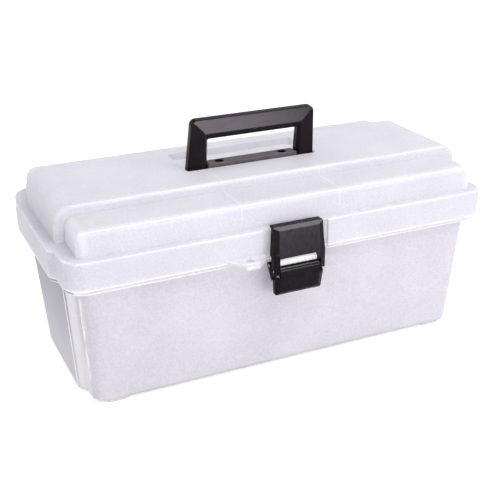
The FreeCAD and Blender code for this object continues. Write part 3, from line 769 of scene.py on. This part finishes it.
def screw_body(radius, length):
    """One lathe-turned screw on the Z axis, its domed head's top at zero."""
    shank = radius * SHANK_SHARE
    half_head = HEAD_HEIGHT / 2
    profile = [(-length, 0), (-length, shank * TIP_SHARE), (TIP_LENGTH - length, shank),
               (-HEAD_HEIGHT, shank), (-HEAD_HEIGHT, radius)]
    for step in range(DOME_STEPS + 1):
        turn = math.radians(90) * step / DOME_STEPS
        profile.append((half_head * (math.sin(turn) - 1), radius - half_head * (1 - math.cos(turn))))
    profile.append((0, 0))
    mesh = turned_mesh("cross-head screw", profile, SCREW_SIDES)
    mesh.transform(Matrix.Rotation(math.radians(-90), 4, "Y"))
    return mesh


def cross_cutter():
    """Two crossed blades, narrowed downwards, in the shape of the driver's tip."""
    shape = bmesh.new()
    for turn in (0, 90):
        blade = bmesh.ops.create_cube(shape, size=2)
        for vert in blade["verts"]:
            taper = 1.0 if vert.co.z > 0 else RECESS_TAPER
            corner = Vector((vert.co.x * RECESS_REACH * taper, vert.co.y * RECESS_HALF_WIDTH,
                             vert.co.z * RECESS_DEPTH))
            vert.co = Matrix.Rotation(math.radians(turn), 3, "Z") @ corner
    mesh = bpy.data.meshes.new("cross recess")
    shape.to_mesh(mesh)
    shape.free()
    return mesh


def cross_head_screw(radius, length):
    """Screw with the cross cut out of its head."""
    body = bpy.data.objects.new("cross-head screw", screw_body(radius, length))
    cutter = bpy.data.objects.new("cross recess", cross_cutter())
    for made in (body, cutter):
        bpy.context.scene.collection.objects.link(made)
    cut = body.modifiers.new("recess", "BOOLEAN")
    cut.operation = "DIFFERENCE"
    cut.solver = "EXACT"
    cut.use_self = True
    cut.object = cutter
    plain_mesh(body)
    mesh = body.data
    bpy.data.objects.remove(cutter)
    bpy.data.objects.remove(body)
    return mesh


SCREW_GRAIN = 4000.0
SCREW_GRAIN_DEPTH = 0.00002
SCREW_MOTTLE = 700.0
SCREW_BLACK = (0.004, 0.004, 0.004)
SCREW_RUBBED = (0.016, 0.015, 0.016)
SCREW_ROUGHNESS = (0.35, 0.5)
SCREW_GLOSS_TINT = (0.1, 0.1, 0.1, 1.0)


def blackened_steel():
    """Oil-blackened steel with a faint mottle of rubbed spots."""
    material, tree, shader, coordinates = new_material("blackened steel")
    grain, mottle = grained(tree, coordinates, SCREW_GRAIN, SCREW_MOTTLE)
    tree.links.new(colour_mix(tree, mottle, SCREW_BLACK, SCREW_RUBBED), shader.inputs["Base Color"])
    tree.links.new(ranged(tree, grain, GRAIN_RANGE, SCREW_ROUGHNESS), shader.inputs["Roughness"])
    bumped(tree, grain, SCREW_GRAIN_DEPTH, shader)
    shader.inputs["Metallic"].default_value = 1.0
    shader.inputs["Specular Tint"].default_value = SCREW_GLOSS_TINT
    return material


screw_low, screw_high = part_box("handle_screws")
screw_radius = (screw_high.y - screw_low.y) / 2
screw_mesh = cross_head_screw(screw_radius, screw_high.z - screw_low.z)
first_screw = Vector((screw_low.x + screw_radius, (screw_low.y + screw_high.y) / 2, screw_high.z))
screw_step = Vector((screw_high.x - screw_low.x - 2 * screw_radius, 0, 0))
screws = repeated("strap_screws", screw_mesh, 2, first_screw, screw_step, blackened_steel())
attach(screws, "lid")
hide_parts("handle_screws")


# Handle
# The carry handle is a black moulded hoop, bevelled in front like a picture frame.
# Stubs inside its feet turn in the strap, so it folds back flat into the lid's pocket.

HANDLE_ROUNDING = 0.0005
HANDLE_DARK = (0.008, 0.006, 0.007)
HANDLE_WORN = (0.012, 0.009, 0.010)
HANDLE_ROUGHNESS = 0.18
HANDLE_GRAIN_DEPTH = 0.00003

handle_black = black_plastic("handle plastic", HANDLE_DARK, HANDLE_WORN, HANDLE_ROUGHNESS,
                             FINE_GRAIN, HANDLE_GRAIN_DEPTH)
black_moulding("handle_hoop", "handle_grip", HANDLE_ROUNDING, handle_black)


# Latch lever and its pins
# The lever is a black moulded finger plate that turns on a steel pin under the tub's rim.
# A second pin through its barrel carries the hook plate, over centre when the latch is shut.

LATCH_ROUNDING = 0.0003
LATCH_DARK = (0.003, 0.002, 0.0025)
LATCH_WORN = (0.007, 0.005, 0.006)
LATCH_ROUGHNESS = 0.24
LEATHER_GRAIN = 520.0
LEATHER_GRAIN_DEPTH = 0.00012

latch_black = black_plastic("latch plastic", LATCH_DARK, LATCH_WORN, LATCH_ROUGHNESS,
                            LEATHER_GRAIN, LEATHER_GRAIN_DEPTH)
black_moulding("latch_finger_lever", "latch_lever", LATCH_ROUNDING, latch_black)

for pin_name, pin_node, pin_body in (("lever_pin", "latch_lever_pin", "base"),
                                     ("hook_pin", "latch_hook_pin", "lever")):
    pin_mesh = wire_pin(pin_name, pin_node)
    latch_pin = repeated(pin_name, pin_mesh, 1, node_middle(pin_node), Vector(), steel)
    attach(latch_pin, pin_body)
    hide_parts(pin_node)


# Latch hook plate
# The hook plate is a black moulding whose lip grips the lid's ledge and pulls it down.
# Its two arms hang on the lever's pin, with an open window between them.

black_moulding("latch_hook", "latch_hook_plate", LATCH_ROUNDING, latch_black)


# Floor
# A plain white card under the box, matt and a little mottled.
# It is lifted to white where it is looked at, and keeps the box's shadow.

FLOOR_HALF = 4.0
FLOOR_WHITE = (0.64, 0.64, 0.64)
FLOOR_SHADE = (0.6272, 0.6272, 0.6272)
FLOOR_GRAIN = 300.0
FLOOR_MOTTLE = 3.0
FLOOR_ROUGHNESS = 0.9
FLOOR_LIFT = 0.54
PLAIN_WHITE = (1.0, 1.0, 1.0, 1.0)


def backdrop_rays(tree):
    """One for rays from the camera, from gloss and through clear plastic, nothing for the rest."""
    path = tree.nodes.new("ShaderNodeLightPath")
    return greatest(tree, path.outputs["Is Camera Ray"], path.outputs["Is Glossy Ray"],
                    path.outputs["Is Transmission Ray"])


def floor_card():
    """Matt white card, lifted to white where it is looked at."""
    material, tree, shader, coordinates = new_material("white floor card")
    mottle = grained(tree, coordinates, FLOOR_GRAIN, FLOOR_MOTTLE)[1]
    lift = product(tree, backdrop_rays(tree), FLOOR_LIFT)
    tree.links.new(colour_mix(tree, mottle, FLOOR_SHADE, FLOOR_WHITE), shader.inputs["Base Color"])
    tree.links.new(lift, shader.inputs["Emission Strength"])
    shader.inputs["Emission Color"].default_value = PLAIN_WHITE
    shader.inputs["Roughness"].default_value = FLOOR_ROUGHNESS
    shader.inputs["Specular IOR Level"].default_value = 0.0
    return material


floor_mesh = bpy.data.meshes.new("floor")
floor_mesh.from_pydata([(-FLOOR_HALF, -FLOOR_HALF, 0), (FLOOR_HALF, -FLOOR_HALF, 0),
                        (FLOOR_HALF, FLOOR_HALF, 0), (-FLOOR_HALF, FLOOR_HALF, 0)], [], [(0, 1, 2, 3)])
floor_mesh.materials.append(floor_card())
floor = bpy.data.objects.new("floor", floor_mesh)
bpy.context.scene.collection.objects.link(floor)


# Light
# An even white room with four soft lamps: two overhead and two low in front of the box.
# Two cards in front light no matt surface and show only in gloss, most of all on the black pieces.

ROOM_LEVEL = 0.86
ROOM_WHITE = 1.0
CEILING_HEIGHTS = (0.46, 0.60)
CEILING_DIM = 0.75

room = bpy.data.worlds.new("white room")
room.use_nodes = True
bpy.context.scene.world = room
room_tree = room.node_tree
room_glow = room_tree.nodes["Background"]
room_glow.inputs["Color"].default_value = PLAIN_WHITE
seen_lift = product(room_tree, backdrop_rays(room_tree), ROOM_WHITE - ROOM_LEVEL)
room_level = math_node(room_tree, "ADD", seen_lift, ROOM_LEVEL)
# Gloss sees a dimmer ceiling over the white walls, so the black pieces keep their contrast.
towards = room_tree.nodes.new("ShaderNodeTexCoord")
ceiling = ranged(room_tree, split_place(room_tree, towards.outputs["Generated"])["Z"],
                 CEILING_HEIGHTS, (0.0, CEILING_DIM))
gloss_path = room_tree.nodes.new("ShaderNodeLightPath")
dimming = product(room_tree, gloss_path.outputs["Is Glossy Ray"], ceiling)
room_tree.links.new(math_node(room_tree, "SUBTRACT", room_level, dimming), room_glow.inputs["Strength"])


def soft_lamp(name, place, target, size, power):
    """Rectangular area lamp turned towards a point, not seen by the camera."""
    light = bpy.data.lights.new(name, "AREA")
    light.shape = "RECTANGLE"
    light.size, light.size_y = size
    light.energy = power
    lamp = bpy.data.objects.new(name, light)
    bpy.context.scene.collection.objects.link(lamp)
    lamp.visible_camera = False
    lamp.location = place
    lamp.rotation_mode = "QUATERNION"
    lamp.rotation_quaternion = (Vector(target) - Vector(place)).to_track_quat("-Z", "Y")
    return lamp


LAMP_TARGET = (0, 0, 0.1)
CARD_TARGET = (0, -0.04, 0.14)
TOP_LAMP_TINT = (1.0, 0.99, 1.0)

top_lamp = soft_lamp("top soft lamp", (0.44, -0.52, 1.28), LAMP_TARGET, (1.0, 1.0), 7.2)
top_lamp.data.color = TOP_LAMP_TINT
for lamp_name, lamp_place, lamp_size, lamp_power in (
        ("right front lamp", (0.46, -0.93, 0.20), (0.60, 0.42), 2.3),
        ("left front lamp", (-0.60, -0.93, 0.24), (0.50, 0.42), 2.0),
        ("left top lamp", (-0.80, -0.10, 1.25), (0.90, 0.90), 2.2)):
    soft_lamp(lamp_name, lamp_place, LAMP_TARGET, lamp_size, lamp_power)
for card_name, card_place, card_size, card_power in (
        ("low card", (0.15, -0.84, 0.06), (0.54, 0.28), 12.4),
        ("high card", (0.38, -0.46, 0.92), (0.42, 0.28), 15.5)):
    card = soft_lamp(card_name, card_place, CARD_TARGET, card_size, card_power)
    card.visible_diffuse = False
    card.visible_transmission = False


# Camera
# The photograph's own place and lens, worked out from the box's edges in it.
# It looks down a little on the box, from its front left corner.

CAMERA_PLACE = (-0.2762, -0.6025, 0.3531)
CAMERA_TURN = math.radians(24.75)
CAMERA_DIP = math.radians(-23.60)
CAMERA_ROLL = math.radians(-0.50)
CAMERA_LENS = 67.09
CAMERA_SENSOR = 36.0
CAMERA_NEAREST = 0.01

ahead = Vector((math.sin(CAMERA_TURN) * math.cos(CAMERA_DIP),
                math.cos(CAMERA_TURN) * math.cos(CAMERA_DIP), math.sin(CAMERA_DIP)))
aside = ahead.cross(Vector((0, 0, 1))).normalized()
upward = aside.cross(ahead)
rolled_aside = math.cos(CAMERA_ROLL) * aside + math.sin(CAMERA_ROLL) * upward
rolled_up = math.cos(CAMERA_ROLL) * upward - math.sin(CAMERA_ROLL) * aside

lens = bpy.data.cameras.new("camera")
lens.lens = CAMERA_LENS
lens.sensor_width = CAMERA_SENSOR
lens.sensor_fit = "HORIZONTAL"
lens.clip_start = CAMERA_NEAREST
camera = bpy.data.objects.new("camera", lens)
bpy.context.scene.collection.objects.link(camera)
camera.matrix_world = Matrix.Translation(CAMERA_PLACE) @ Matrix(
    (rolled_aside, rolled_up, -ahead)).transposed().to_4x4()
bpy.context.scene.camera = camera
bpy.context.scene.view_settings.view_transform = "Standard"
